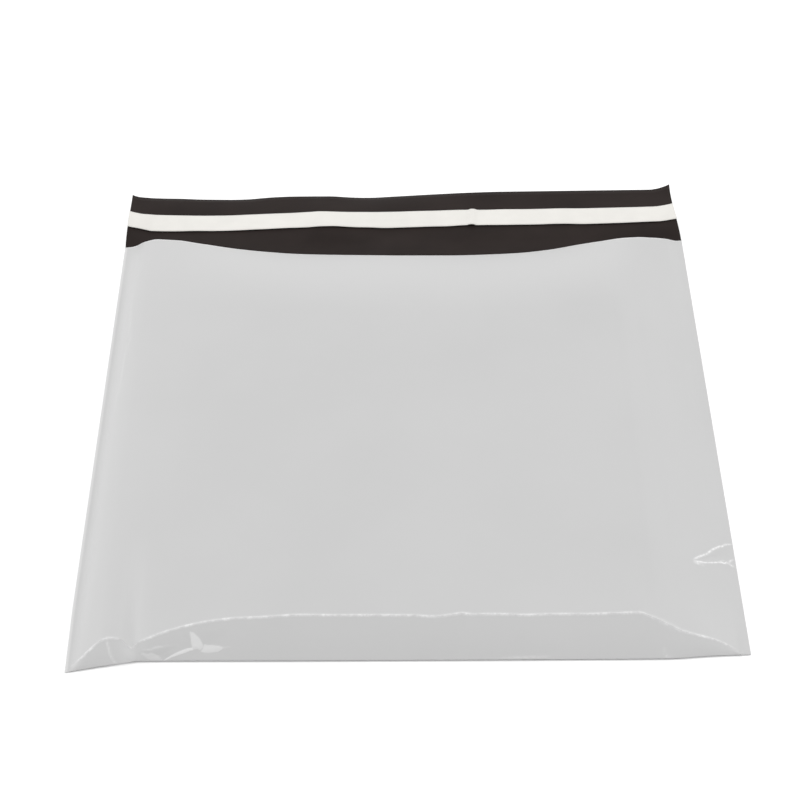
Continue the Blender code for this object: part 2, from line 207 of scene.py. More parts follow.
# Small wiggles of the top crease, in its distance from the fold
RIDGE_WIGGLE = (
    ((0, 0), (0.100, 0), (0.120, 0.0003), (0.138, -0.0002), (0.158, 0.0)),
    ((0.02, -0.0001), (0.075, -0.0010), (0.12, 0.0), (0.155, 0.0012), (0.165, 0.0013),
     (0.185, 0.0002), (0.25, 0.0005), (0.34, -0.0003), (0.44, 0.0001)),
    ((0, 0), (0.060, 0), (0.085, -0.0002)),
)

# Grid of the film: (end of the stretch, segments in it), inwards from each seam
LEFT_COLUMNS = ((SEAM_WIDTH, 4), (0.016, 14), (0.052, 44), (0.062, 14), (0.084, 48),
                (0.100, 8))
RIGHT_COLUMNS = ((SEAM_WIDTH, 4), (0.024, 34), (0.060, 28))
MIDDLE_COLUMNS = 70
# and along the front panel: (end station, segments, how they crowd towards the start)
FRONT_ROWS = ((1.0, 38, 1.0), (2.0, 24, 1.5), (2.078, 6, 1.0), (2.175, 40, 1.0),
              (3.0, 16, 1.1), (3.96, 16, 1.0), (4.0, 4, 1.0))
BACK_STEP = 6
FLAP_ROWS = 14
STRIP_COLUMNS = 560
STRIP_ROWS = 10
SHARP_ANGLE = math.radians(32)

MILLIMETRE = 0.001
# The least that anything is divided by
TINY = 1e-12


class MailerSizes(bpy.types.PropertyGroup):
    """Sizes of the bag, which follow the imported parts."""

    width: FloatProperty(
        name="Bag width", description="From seam to seam", unit="LENGTH", subtype="DISTANCE",
        default=round(FILM_HIGH.x - FILM_LOW.x, 4))
    length: FloatProperty(
        name="Pouch length", description="From the bottom fold to the flap", unit="LENGTH",
        subtype="DISTANCE", default=0.350)
    flap: FloatProperty(
        name="Flap length", description="From the mouth to the flap's edge", unit="LENGTH",
        subtype="DISTANCE", default=0.0493)
    film: FloatProperty(
        name="Film thickness", description="Of the co-extruded film", unit="LENGTH",
        subtype="DISTANCE", default=0.0001)
    panel_height: FloatProperty(
        name="Panel height", description="How far the front panel stands off the back panel",
        unit="LENGTH", subtype="DISTANCE", default=0.021)
    mouth_height: FloatProperty(
        name="Mouth height", description="How far the mouth stands open", unit="LENGTH",
        subtype="DISTANCE", default=0.006)
    mouth_droop: FloatProperty(
        name="Mouth droop", description="How far the mouth's edge is drawn back in the middle",
        unit="LENGTH", subtype="DISTANCE", default=0.0202)
    liner_width: FloatProperty(
        name="Liner width", description="Width of the release liner", unit="LENGTH",
        subtype="DISTANCE", default=0.0152)
    liner_from_edge: FloatProperty(
        name="Liner from edge", description="From the flap's edge to the liner", unit="LENGTH",
        subtype="DISTANCE", default=0.0190)
    adhesive_width: FloatProperty(
        name="Adhesive width", description="Width of the adhesive under the liner",
        unit="LENGTH", subtype="DISTANCE", default=0.012)
    strip: FloatProperty(
        name="Strip thickness", description="Of the liner and of the adhesive", unit="LENGTH",
        subtype="DISTANCE", default=0.0001)
    layer_gap: FloatProperty(
        name="Layer gap", description="Between the film, the adhesive and the liner",
        unit="LENGTH", subtype="DISTANCE", default=0.0003)


class MailerColours(bpy.types.PropertyGroup):
    """Colours of the bag's materials and of the stage."""

    grey: FloatVectorProperty(
        name="Outside", description="Grey outer side of the film", subtype="COLOR", size=4,
        min=0.0, max=1.0, default=(0.555, 0.555, 0.555, 1.0))
    # Painted highlight: the light grey painted along creases and over crumpled facets where they
    # catch the light
    painted_highlight: FloatVectorProperty(
        name="Creases", description="Film where a crease has whitened it", subtype="COLOR",
        size=4, min=0.0, max=1.0, default=(0.92, 0.92, 0.92, 1.0))
    black: FloatVectorProperty(
        name="Inside", description="Black inner side of the film", subtype="COLOR", size=4,
        min=0.0, max=1.0, default=(0.0255, 0.0195, 0.0180, 1.0))
    liner: FloatVectorProperty(
        name="Liner", description="Warm white release liner", subtype="COLOR", size=4,
        min=0.0, max=1.0, default=(0.797, 0.780, 0.742, 1.0))
    glue: FloatVectorProperty(
        name="Adhesive", description="Cloudy adhesive", subtype="COLOR", size=4,
        min=0.0, max=1.0, default=(0.78, 0.76, 0.66, 1.0))
    floor: FloatVectorProperty(
        name="Floor", description="White floor", subtype="COLOR", size=4, min=0.0, max=1.0,
        default=(0.80, 0.80, 0.80, 1.0))


def held(value):
    """The value, held between 0 and 1."""
    return np.clip(value, 0.0, 1.0)


def bell(offset, reach):
    """A bell curve: e to the power of minus the square of the offset over the reach."""
    return np.exp(-((offset / reach) ** 2))


def read_curve(x, half, curve):
    """A curve through the points that never overshoots them: cubic pieces whose slope at a
    point is the harmonic mean of the slopes on its two sides, or level where those differ
    in sign."""
    left, middle, right = curve
    points = [(inset - half, value) for inset, value in left]
    points += [(share * half, value) for share, value in middle]
    points += [(half - inset, value) for inset, value in reversed(right)]
    knots, values = np.array(points).T
    steps = np.diff(knots)
    rises = np.diff(values) / steps
    before, after = rises[:-1], rises[1:]
    same_way = before * after > 0
    total = np.where(same_way, before + after, 1.0)
    inner = np.where(same_way, 2 * before * after / total, 0.0)
    slopes = np.concatenate([rises[:1], inner, rises[-1:]])
    index = np.clip(np.searchsorted(knots, x) - 1, 0, len(steps) - 1)
    step = steps[index]
    t = held((x - knots[index]) / step)
    start = (1 + 2 * t) * (1 - t) ** 2 * values[index]
    start = start + t * (1 - t) ** 2 * step * slopes[index]
    end = t**2 * (3 - 2 * t) * values[index + 1] + t**2 * (t - 1) * step * slopes[index + 1]
    return start + end


def bottom_of(size):
    """Where the straight bottom fold lies, with the whole length centred."""
    return -(size.length + size.flap) / 2


def tucked_corner(x, y, size):
    """Places across with the bottom left corner drawn in: by the square of the nearness to
    the seam, times the nearness to the fold."""
    across = held(1 - (x + size.width / 2) / CORNER_REACH) ** 2
    along = held(1 - (y - bottom_of(size)) / BOTTOM_TUCK_REACH)
    return x + BOTTOM_TUCK * across * along


def side_dent(x, y, half):
    """Depth of the buckle: a wedge between two lines that open towards the right seam,
    deepest along its middle and half way in."""
    reach = held((x - (half - DENT_REACH)) / (DENT_REACH - SEAM_WIDTH))
    foot = DENT_FROM_FOLD + DENT_FOOT * reach
    top = DENT_FROM_FOLD + DENT_TOP * (1 - (1 - reach) ** DENT_TOP_CURVE)
    thickness = np.maximum((top - foot) / 2, TINY)
    across = 1 - np.abs(y - (top + foot) / 2) / thickness
    return DENT_DEPTH * held(across) * np.sin(math.pi * reach)


def corner_pleats(x, up, half):
    """Depth of two pyramids pressed into the slope, each the lesser of its rises across and
    up the slope."""
    depth = np.zeros_like(x * up)
    for inset, reach, height in PLEATS:
        near = 1 - np.abs(x + half - inset) / reach
        rise = 1 - np.abs(up - height) / height
        depth = np.maximum(depth, PLEAT_DEPTH * held(np.minimum(near, rise)))
    return depth


def fold_raise(x, half):
    """How far the bottom fold stands off the floor."""
    return MILLIMETRE * read_curve(x, half, FOLD_RAISE)


def front_panel(x, station, size):
    """Places of the front panel's outer face: straight up the slope from the fold to the
    ridge with a slight bulge, over the shelf as a parabola, level, and down the shoulder to
    the mouth. The fold's own height dies out up the slope as a square."""
    half = size.width / 2
    fold = FOLD_BOW * read_curve(x, half, FOLD_LINE)
    ridge = RIDGE_REACH * read_curve(x, half, RIDGE_LINE) + read_curve(x, half, RIDGE_WIGGLE)
    mouth = size.length - size.mouth_droop * read_curve(x, half, DROOP_SHARE)
    ridge_height = size.panel_height * read_curve(x, half, RIDGE_SHARE)
    panel_height = size.panel_height * read_curve(x, half, PANEL_SHARE)
    mouth_height = size.mouth_height * read_curve(x, half, MOUTH_SHARE)
    valley = bell(x + half - VALLEY_FROM_SEAM, VALLEY_WIDTH)
    shelf = ridge + SHELF_LENGTH + VALLEY_SHELF * valley
    shoulder = mouth - SHOULDER_LENGTH

    up = held(station - FOLD)
    steepness = ridge_height / np.hypot(ridge_height, ridge - fold)
    press = SLOPE_BULGE * steepness * np.sin(math.pi * up)
    press = press - corner_pleats(x, up, half) * steepness
    slope_y = fold + (ridge - fold) * up - press * steepness
    slope_z = ridge_height * up + press * np.sqrt(1 - steepness**2)
    slope_z = slope_z + fold_raise(x, half) * (1 - up) ** 2

    back = held(station - RIDGE)
    level = held(station - SHELF)
    down = held(station - SHOULDER)
    top_y = ridge + (shelf - ridge) * back + (shoulder - shelf) * level
    top_y = top_y + (mouth - shoulder) * down
    top_z = ridge_height + (panel_height - ridge_height) * (1 - (1 - back) ** 2)
    top_z = top_z + (mouth_height - panel_height) * down**SHOULDER_CURVE
    lowest = np.minimum(top_z, DENT_LOWEST_SHARE * panel_height)
    top_z = np.maximum(top_z - side_dent(x, top_y, half), lowest)

    on_slope = station < RIDGE
    y = np.where(on_slope, slope_y, top_y) + bottom_of(size)
    z = np.where(on_slope, slope_z, top_z)
    return np.stack([tucked_corner(x, y, size), y, z], axis=-1)


def back_panel(x, station, size):
    """Places of the level back panel: each row joins the front panel's seam places by a
    straight line, bowed as the fold is and less with each row. It rises to the fold as a
    parabola."""
    half = size.width / 2
    left = front_panel(np.full_like(x, -half), station, size)[..., 1]
    right = front_panel(np.full_like(x, half), station, size)[..., 1]
    across = (x + half) / size.width
    straight = left + (right - left) * across
    ends = read_curve(np.array([-half, half]), half, FOLD_LINE)
    seam_line = ends[0] + (ends[1] - ends[0]) * across
    bow = read_curve(x, half, FOLD_LINE) - seam_line
    along = held((straight - bottom_of(size)) / size.length)
    y = straight + FOLD_BOW * bow * (1 - along)
    from_fold = straight - bottom_of(size) - FOLD_BOW * seam_line
    z = fold_raise(x, half) * held(1 - from_fold / FOLD_RAISE_REACH) ** 2
    return np.stack([tucked_corner(x, y, size), y, z], axis=-1)


def flap_height(x, share, half):
    """Height of the flap: a cubic in the distance past the mouth, through the level mouth and the
    heights along the three lines across the flap."""
    height = np.zeros_like(x * share)
    for line, curve in FLAP_LINES:
        weight = share / line
        for other, _ in FLAP_LINES:
            if other != line:
                weight = weight * (share - other) / (line - other)
        height += weight * read_curve(x, half, curve)
    return FLAP_LIFT * np.maximum(height, 0.0)


def flap_place(x, past_mouth, lift, size):
    """Places on the unfolded flap, whose raised corners are drawn in."""
    half = size.width / 2
    near_left = held(1 - (x + half) / CORNER_REACH) ** 2
    near_right = held(1 - (half - x) / CORNER_REACH) ** 2
    share = past_mouth / size.flap
    drawn_in = (LEFT_TUCK * near_left - RIGHT_TUCK * near_right) * (1 - (1 - share) ** 2)
    y = bottom_of(size) + size.length + past_mouth + 0 * x
    return np.stack([x + drawn_in, y, flap_height(x, share, half) + lift], axis=-1)


def column_places(half):
    """Where the columns of the film lie, close together beside the seams."""

    def insets(stretches):
        """Even steps within each stretch, counted inwards from the seam."""
        ends = [np.zeros(1)]
        for end, count in stretches:
            ends.append(np.linspace(ends[-1][-1], end, count + 1)[1:])
        return np.concatenate(ends)

    left = insets(LEFT_COLUMNS) - half
    right = (half - insets(RIGHT_COLUMNS))[::-1]
    middle = np.linspace(left[-1], right[0], MIDDLE_COLUMNS + 1)[1:-1]
    return np.concatenate([left, middle, right])


def row_stations():
    """The rows of the front panel, as stations from the fold to the mouth."""
    rows = [np.zeros(1)]
    for end, count, crowding in FRONT_ROWS:
        start = rows[-1][-1]
        rows.append(start + (end - start) * np.linspace(0, 1, count + 1)[1:] ** crowding)
    return np.concatenate(rows)


def distance_to_path(places, path):
    """Distance of each place from a path of straight pieces, and how far along it the
    nearest point is, from 0 to 1."""
    start, step = path[:-1], np.diff(path, axis=0)
    square = np.maximum((step**2).sum(axis=1), TINY)
    lengths = np.sqrt(square)
    reached = np.concatenate([[0.0], np.cumsum(lengths)])
    offset = places[:, None, :] - start[None]
    share = held((offset * step[None]).sum(axis=2) / square)
    apart = np.linalg.norm(offset - share[..., None] * step[None], axis=2)
    nearest = apart.argmin(axis=1)
    rows = np.arange(len(places))
    along = (reached[nearest] + share[rows, nearest] * lengths[nearest]) / reached[-1]
    return apart[rows, nearest], along


# Creases on the front panel: places as (distance across from the middle, station), height
# and half width of the raised line, strength of the highlight painted along it, and how it
# fades at its ends
CREASES = (
    ("ear fold", ((-0.1529, 0.953), (-0.1523, 0.776), (-0.1516, 0.572), (-0.1511, 0.386),
                  (-0.1498, 0.180), (-0.1489, 0.090), (-0.1478, 0.020)),
     0.0002, 0.0006, 0.30, 0.15),
    ("valley", ((-0.1402, 0.97), (-0.1385, 0.512), (-0.1370, 0.03)), -0.0002, 0.0016, 0.0, 0.4),
    ("upper thin", ((-0.1360, 0.641), (-0.1302, 0.514), (-0.1296, 0.545), (-0.1278, 0.573),
                    (-0.1242, 0.543), (-0.1217, 0.544)), 0.0002, 0.0006, 0.28, 0.5),
    ("left streak", ((-0.1651, 3.236), (-0.1643, 3.029), (-0.1632, 2.930), (-0.1617, 2.858),
                     (-0.1645, 2.832), (-0.1646, 2.757), (-0.1649, 2.700), (-0.1662, 2.659)),
     0.0002, 0.0007, 0.14, 0.3),
    ("fold glint", ((0.0460, 0.036), (0.0547, 0.048), (0.0628, 0.056), (0.0735, 0.061)),
     0.0001, 0.0006, 0.28, 0.4),
    ("mark", ((0.1306, 0.302), (0.1312, 0.102), (0.1325, 0.043), (0.1340, 0.075)),
     0.0002, 0.0005, 0.34, 0.5),
    ("dent top", ((0.1515, 2.080), (0.1529, 2.087), (0.1556, 2.100), (0.1577, 2.108),
                  (0.1592, 2.114), (0.1602, 2.119), (0.1617, 2.128), (0.1637, 2.139),
                  (0.1663, 2.150), (0.1680, 2.158), (0.1697, 2.164), (0.1716, 2.159),
                  (0.1742, 2.160)), 0.0003, 0.0005, 1.0, 0.12),
    ("dent foot", ((0.1515, 2.079), (0.1530, 2.077), (0.1551, 2.080), (0.1568, 2.080),
                   (0.1606, 2.086), (0.1635, 2.094), (0.1663, 2.100), (0.1684, 2.105),
                   (0.1697, 2.109), (0.1708, 2.099), (0.1718, 2.093), (0.1736, 2.087)),
     0.0003, 0.0005, 1.0, 0.12),
    ("dent corner", ((0.1708, 2.099), (0.1724, 2.106), (0.1739, 2.110)),
     0.0002, 0.0006, 0.7, 0.4),
    ("dent branch", ((0.1652, 2.099), (0.1670, 2.107), (0.1689, 2.117)),
     0.0002, 0.0005, 0.4, 0.4),
)
# Crumpled facets beside the left corner: closed outline, height and painted highlight strength
FACETS = (
    ("upright petal", ((-0.1104, 0.821), (-0.1095, 0.813), (-0.1084, 0.784), (-0.1073, 0.722),
                       (-0.1062, 0.652), (-0.1052, 0.579), (-0.1046, 0.509), (-0.1041, 0.434),
                       (-0.1039, 0.371), (-0.1043, 0.331), (-0.1056, 0.293), (-0.1069, 0.335),
                       (-0.1087, 0.331), (-0.1095, 0.369), (-0.1098, 0.469), (-0.1100, 0.593),
                       (-0.1102, 0.708)), 0.0004, 0.34),
    ("level petal", ((-0.1037, 0.438), (-0.1015, 0.413), (-0.0990, 0.399), (-0.0969, 0.388),
                     (-0.0952, 0.368), (-0.0934, 0.324), (-0.0950, 0.269), (-0.0968, 0.218),
                     (-0.0991, 0.212), (-0.1017, 0.206), (-0.1037, 0.214), (-0.1054, 0.248),
                     (-0.1041, 0.325)), 0.0004, 0.34),
    ("petal tip", ((-0.0952, 0.368), (-0.0897, 0.353), (-0.0929, 0.309)), 0.0002, 0.12),
    ("streak", ((-0.1248, 0.004), (-0.1222, 0.121), (-0.1195, 0.224), (-0.1168, 0.302),
                (-0.1137, 0.359), (-0.1112, 0.382), (-0.1094, 0.380), (-0.1087, 0.320),
                (-0.1107, 0.299), (-0.1138, 0.240), (-0.1169, 0.190), (-0.1201, 0.121),
                (-0.1222, 0.061), (-0.1240, 0.0)), 0.0003, 0.50),
    ("faint petal", ((-0.1358, 0.530), (-0.1327, 0.343), (-0.1304, 0.382), (-0.1273, 0.221),
                     (-0.1248, 0.017), (-0.1314, 0.023), (-0.1334, 0.158), (-0.1357, 0.358)),
     0.0002, 0.18),
)
# How finely a path is followed, how far from it the film is raised, and how both kinds end
PATH_STEPS = 10
RELIEF_REACH = 0.008
CREASE_END_SHARE = 0.25
FACET_RISE = 0.0012
FACET_EDGE = 0.00035

# The highlight line painted along the ridge, with its gap at the left and its soft stretch
# at the right
LINE_POINTS = 320
LINE_STATION = 1.4
LINE_HEIGHT = 0.0003
LINE_WIDTH = 0.00065
LINE_LEFT_END, LINE_LEFT_FADE = 0.002, 0.006
LINE_RIGHT_END, LINE_RIGHT_FADE = 0.006, 0.010
LINE_HIGHLIGHT = 0.85
LINE_UNBROKEN = 0.6
LINE_WAVES = ((0.0062, 0.4), (0.0101, 2.0), (0.0173, 4.1))
GAP_INSET = 0.0312
GAP_REACH = 0.0038
GAP_LOSS = 0.9
SOFT_INSET = 0.043
SOFT_REACH = 0.008
SOFT_WIDTH = 0.0008
SOFT_LOSS = 0.6

# Highlights painted on the left weld, in the valley and along the mouth's rim
WELD_HIGHLIGHT = 0.36
WELD_END = 0.00144
WELD_FADE = 0.0009
VALLEY_HIGHLIGHT = 0.13
VALLEY_HIGHLIGHT_INSET = 0.034
VALLEY_HIGHLIGHT_WIDTH = 0.0055
RIM_HIGHLIGHT = 0.85
RIM_STATIONS = 0.015


def path_on_panel(points, size):
    """The path over the front panel through the points, in 3-D, with even steps between
    each two."""
    x, station = np.array(points).T
    knots = np.arange(len(x))
    fine = np.linspace(0, knots[-1], PATH_STEPS * knots[-1] + 1)
    return front_panel(np.interp(fine, knots, x), np.interp(fine, knots, station), size)


def ripple(along, waves):
    """A sum of sines with unlike lengths, from -1 to 1: an irregular wave that doesn't
    repeat soon. Each wave is its length and its phase."""
    total = sum(np.sin(2 * math.pi * along / length + phase) for length, phase in waves)
    return total / len(waves)


def inside_outline(x, station, outline):
    """Whether each place lies inside a closed outline: a line from it to the right crosses the
    outline an odd number of times."""
    across, up = np.array(outline).T
    next_across, next_up = np.roll(across, -1), np.roll(up, -1)
    spans = (up > station[:, None]) != (next_up > station[:, None])
    rise = np.where(next_up == up, 1.0, next_up - up)
    crossing = across + (station[:, None] - up) / rise * (next_across - across)
    return (spans & (x[:, None] < crossing)).sum(axis=1) % 2 == 1


def ridge_line(places, x, size):
    """The line along the ridge, raised and painted as a highlight: a bell across it that runs out
    at both ends and is wider over the soft stretch. Its painted highlight breaks up in an
    irregular wave, and most of it is lost in the gap and over the soft stretch."""
    half = size.width / 2
    ridge_x = np.linspace(-half + SEAM_WIDTH, half - SEAM_WIDTH, LINE_POINTS)
    ridge = front_panel(ridge_x, np.full_like(ridge_x, RIDGE), size)
    apart, _ = distance_to_path(places, ridge)
    left, right = x + half, half - x
    gap = bell(left - GAP_INSET, GAP_REACH)
    soft = bell(right - SOFT_INSET, SOFT_REACH)
    ends = held((left - LINE_LEFT_END) / LINE_LEFT_FADE)
    ends = ends * held((right - LINE_RIGHT_END) / LINE_RIGHT_FADE)
    line = bell(apart, LINE_WIDTH + SOFT_WIDTH * soft) * ends
    broken = LINE_UNBROKEN + (1 - LINE_UNBROKEN) * ripple(x, LINE_WAVES)
    broken = broken * (1 - GAP_LOSS * gap) * (1 - SOFT_LOSS * soft)
    return line, LINE_HIGHLIGHT * broken * line


def film_relief(places, x, station, size):
    """How far each place is raised, and how strong a painted highlight it carries from creases and
    from facets.

    Each crease is a bell across its line. Each crumpled face is a plateau inside its outline, and
    carries its painted highlight up to a crisp edge. The ridge, the left weld, the valley and the
    rim add painted highlights of their own, and the ridge its raised line too.
    """
    raised, painted_highlight, steady_highlight = np.zeros((3, len(places)))

    def reach(points):
        """The places near enough to a path to be raised by it."""
        path = path_on_panel(points, size)
        low, high = path.min(axis=0) - RELIEF_REACH, path.max(axis=0) + RELIEF_REACH
        near = np.flatnonzero(((places > low) & (places < high)).all(axis=1))
        return near, *distance_to_path(places[near], path)

    for _, points, height, width, highlight_amount, fade in CREASES:
        near, apart, along = reach(points)
        ends = held(np.minimum(along, 1 - along) / fade + CREASE_END_SHARE)
        line = bell(apart, width) * ends
        raised[near] += height * line
        painted_highlight[near] = np.maximum(painted_highlight[near], highlight_amount * line)
    for _, outline, height, highlight_amount in FACETS:
        near, apart, _ = reach(outline + outline[:1])
        depth = np.where(inside_outline(x[near], station[near], outline), apart, -apart)
        raised[near] += height * held(depth / FACET_RISE)
        crisp = held(0.5 + depth / FACET_EDGE)
        steady_highlight[near] = np.maximum(steady_highlight[near], highlight_amount * crisp)

    near = np.flatnonzero(station < LINE_STATION)
    line, highlight_amount = ridge_line(places[near], x[near], size)
    raised[near] += LINE_HEIGHT * line
    painted_highlight[near] = np.maximum(painted_highlight[near], highlight_amount)

    # Painted highlights on the left weld, in the valley and along the mouth's rim
    from_seam = x + size.width / 2
    weld = WELD_HIGHLIGHT * held((WELD_END - from_seam) / WELD_FADE)
    valley = VALLEY_HIGHLIGHT * bell(from_seam - VALLEY_HIGHLIGHT_INSET, VALLEY_HIGHLIGHT_WIDTH)
    valley = valley * held(SHELF - station)
    rim = RIM_HIGHLIGHT * held((station - MOUTH + RIM_STATIONS) / RIM_STATIONS)
    steady_highlight = np.maximum(np.maximum(steady_highlight, weld), valley)
    return raised, held(np.maximum(painted_highlight, rim)), steady_highlight


def film_swell(x, y, size):
    """Long, low swells over the panel: irregular waves slantwise across and along it, added
    up, which die out at its edges."""
    half = size.width / 2
    bottom = bottom_of(size)
    across = held((half - np.abs(x)) / SWELL_MARGIN)
    along = held((y - bottom - SWELL_FROM_FOLD) / SWELL_MARGIN)
    long_waves = ripple(x + 0.3 * y, ((0.21, 0.3), (0.143, 1.9), (0.087, 4.4)))
    cross_waves = ripple(y - 0.2 * x, ((0.26, 1.1), (0.167, 3.2), (0.101, 5.0)))
    return SWELL_HEIGHT * across * along * (long_waves + 0.8 * cross_waves)


def seam_puckers(x, y, half):
    """Short puckers beside each weld: an irregular wave along it, in a bell just inside the
    seam. The wave is shifted from one side to the other."""
    beside = bell(half - np.abs(x) - PUCKER_INSET, PUCKER_WIDTH)
    shifted = y + PUCKER_SHIFT * np.sign(x)
    wave = ripple(shifted, ((0.0137, 0.2), (0.0231, 2.6), (0.0402, 4.0)))
    return PUCKER_HEIGHT * beside * wave


def pushed_out(grid, amount):
    """The grid's places moved along its own normals, which are the cross products of its
    steps."""
    across = np.gradient(grid, axis=1)
    along = np.gradient(grid, axis=0)
    normal = np.cross(across, along)
    normal /= np.maximum(np.linalg.norm(normal, axis=2, keepdims=True), TINY)
    return grid + normal * amount[..., None]


def quads(index, flipped):
    """Four-sided faces over a grid of vertex numbers, turned over where flipped."""
    a, b = index[:-1, :-1].ravel(), index[:-1, 1:].ravel()
    c, d = index[1:, 1:].ravel(), index[1:, :-1].ravel()
    return np.column_stack([a, d, c, b] if flipped else [a, b, c, d])


def film_sheet(size):
    """Vertices, faces, both kinds of painted highlight and the thin places of the folded sheet.

    The back panel has every sixth row of the front panel, and its outermost faces take in all
    of the seam's vertices between two rows. The sheet is thin where the two panels all but meet.
    """
    half = size.width / 2
    across = column_places(half)
    stations = row_stations()
    columns, rows = len(across), len(stations)
    x, station = (grid.ravel() for grid in np.meshgrid(across, stations))
    front = front_panel(x, station, size)
    raised, painted_highlight, steady_highlight = film_relief(front, x, station, size)
    swell = film_swell(front[:, 0], front[:, 1], size)
    puckers = seam_puckers(front[:, 0], front[:, 1], half)
    raised += np.where(station > RIDGE, swell, 0.0)
    raised += np.where(station > PUCKER_STATION, puckers, 0.0)
    raised = raised.reshape(rows, columns)
    raised[0] = 0.0
    raised[:, [0, -1]] = 0.0
    front = pushed_out(front.reshape(rows, columns, 3), raised).reshape(-1, 3)

    kept = np.arange(0, rows, BACK_STEP)
    back_x, back_station = np.meshgrid(across[1:-1], stations[kept[1:]])
    back = back_panel(back_x.ravel(), back_station.ravel(), size)
    flap_x, past = np.meshgrid(across, np.linspace(0, size.flap, FLAP_ROWS + 1)[1:])
    flap = flap_place(flap_x.ravel(), past.ravel(), 0.0, size)

    front_index = np.arange(rows * columns).reshape(rows, columns)
    back_index = front_index[kept].copy()
    back_index[1:, 1:-1] = len(front) + np.arange(len(back)).reshape(len(kept) - 1, -1)
    flap_index = np.arange(len(flap)).reshape(FLAP_ROWS, columns) + len(front) + len(back)
    flap_index = np.vstack([back_index[-1:], flap_index])

    span = kept[:-1, None] + np.arange(BACK_STEP + 1)
    left = np.column_stack([front_index[span, 0], back_index[1:, 1], back_index[:-1, 1]])
    right_seam = front_index[span[:, ::-1], -1]
    right = np.column_stack([back_index[:-1, -2], back_index[1:, -2], right_seam])
    faces = quads(front_index, False).tolist()
    faces += quads(back_index[:, 1:-1], True).tolist()
    faces += left.tolist() + right.tolist()
    faces += quads(flap_index, True).tolist()
    places = np.concatenate([front, back, flap])
    plain = np.zeros(len(back) + len(flap))
    meeting = (half - np.abs(x) < MEETING_INSET) & (station < MEETING_STATION)
    meeting = (meeting & (front[:, 2] < MEETING_HEIGHT)).reshape(rows, columns)
    thin = np.concatenate([front_index[meeting], back_index[meeting[kept]]])
    return places, faces, np.append(painted_highlight, plain), np.append(steady_highlight, plain), thin


def strip_sheet(from_edge, width, lift, edge_wave, size):
    """Vertices and faces of a strip across the flap, between two edges that wave a little,
    with each vertex's place across the bag and share of the strip's width."""
    half = size.width / 2
    across = np.linspace(-half, half, STRIP_COLUMNS + 1)
    x, share = np.meshgrid(across, np.linspace(0, 1, STRIP_ROWS + 1))
    edge = size.flap - from_edge
    wave = edge_wave * ripple(x, ((0.031, 0.5), (0.052, 2.2), (0.0187, 4.8)))
    past = edge - width + width * share + wave * (2 * share - 1)
    places = flap_place(x.ravel(), past.ravel(), lift, size)
    index = np.arange(x.size).reshape(x.shape)
    return places, quads(index, False).tolist(), x.ravel(), share.ravel()


def add_piece(name, places, faces, materials, node, thickness, offset, attributes, thin):
    """Makes a sheet into a piece with a wall, thinner at some vertices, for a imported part."""
    mesh = bpy.data.meshes.new(name)
    mesh.from_pydata(places.astype(float).tolist(), [], faces)
    for label, values in attributes.items():
        mesh.attributes.new(label, "FLOAT", "POINT").data.foreach_set(
            "value", np.asarray(values, np.float32))
    for material in materials:
        mesh.materials.append(material)
    mesh.shade_smooth()
    mesh.set_sharp_from_angle(angle=SHARP_ANGLE)
    piece = bpy.data.objects.new(name, mesh)
    bpy.context.scene.collection.objects.link(piece)
    wall = piece.modifiers.new("wall", "SOLIDIFY")
    wall.thickness = thickness
    wall.offset = offset
    wall.use_quality_normals = True
    wall.material_offset = len(materials) - 1
    if len(thin):
        piece.vertex_groups.new(name="thin wall").add(np.unique(thin).tolist(), 1.0, "REPLACE")
        wall.vertex_group = "thin wall"
        wall.invert_vertex_group = True
        wall.thickness_vertex_group = THIN_WALL_SHARE
    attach(piece, "root")
    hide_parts(node)


def add_node(tree, kind, settings=None, **inputs):
    """A shader node with its settings, and its sockets set or linked: each by its name, or
    by its number after an underscore."""
    node = tree.nodes.new("ShaderNode" + kind)
    for name, value in (settings or {}).items():
        setattr(node, name, value)
    for name, value in inputs.items():
        socket = node.inputs[int(name[1:]) if name[1:].isdigit() else name.replace("_", " ")]
        if isinstance(value, bpy.types.NodeSocket):
            tree.links.new(value, socket)
        else:
            socket.default_value = value
    return node


def start_material(name, colour, roughness, level):
    """A material, its tree, its shader and its object coordinates."""
    material = bpy.data.materials.new(name)
    material.use_nodes = True
    material.diffuse_color = colour
    tree = material.node_tree
    shader = tree.nodes["Principled BSDF"]
    shader.inputs["Roughness"].default_value = roughness
    shader.inputs["Specular IOR Level"].default_value = level
    coordinates = add_node(tree, "TexCoord").outputs["Object"]
    return material, tree, shader, coordinates


def stretched_noise(tree, coordinates, stretch, scale, detail=2.0):
    """Noise whose grains are stretched along the axes, as the film's drawn lines are."""
    mapped = add_node(tree, "Mapping", Vector=coordinates, Scale=stretch)
    noise = add_node(tree, "TexNoise", Vector=mapped.outputs[0], Scale=scale, Detail=detail)
    return noise.outputs["Fac"]


def from_range(tree, value, low, high, to_low, to_high):
    """The value moved from one range to another, held to its ends."""
    node = add_node(tree, "MapRange", {"clamp": True}, Value=value, From_Min=low, From_Max=high,
                    To_Min=to_low, To_Max=to_high)
    return node.outputs["Result"]


def arithmetic(tree, operation, *values):
    """The result of a sum on two or three values."""
    sockets = {f"_{index}": value for index, value in enumerate(values)}
    return add_node(tree, "Math", {"operation": operation}, **sockets).outputs[0]


def colour_mix(tree, share, first, second):
    """The first colour, with a share of the second."""
    node = add_node(tree, "Mix", {"data_type": "RGBA"}, _0=share, _6=first, _7=second)
    return node.outputs[2]


def shade(colour, factor):
    """The colour made darker or lighter by a factor."""
    return tuple(min(1.0, part * factor) for part in colour[:3]) + (1.0,)


# What most of a noise lies between, and the grain of a noise that isn't stretched
NOISE_RANGE = (0.3, 0.7)
EVEN = (1, 1, 1)
# The lines that the film got when it was drawn from the die
DRAWN_LINES = (420, 9, 9)


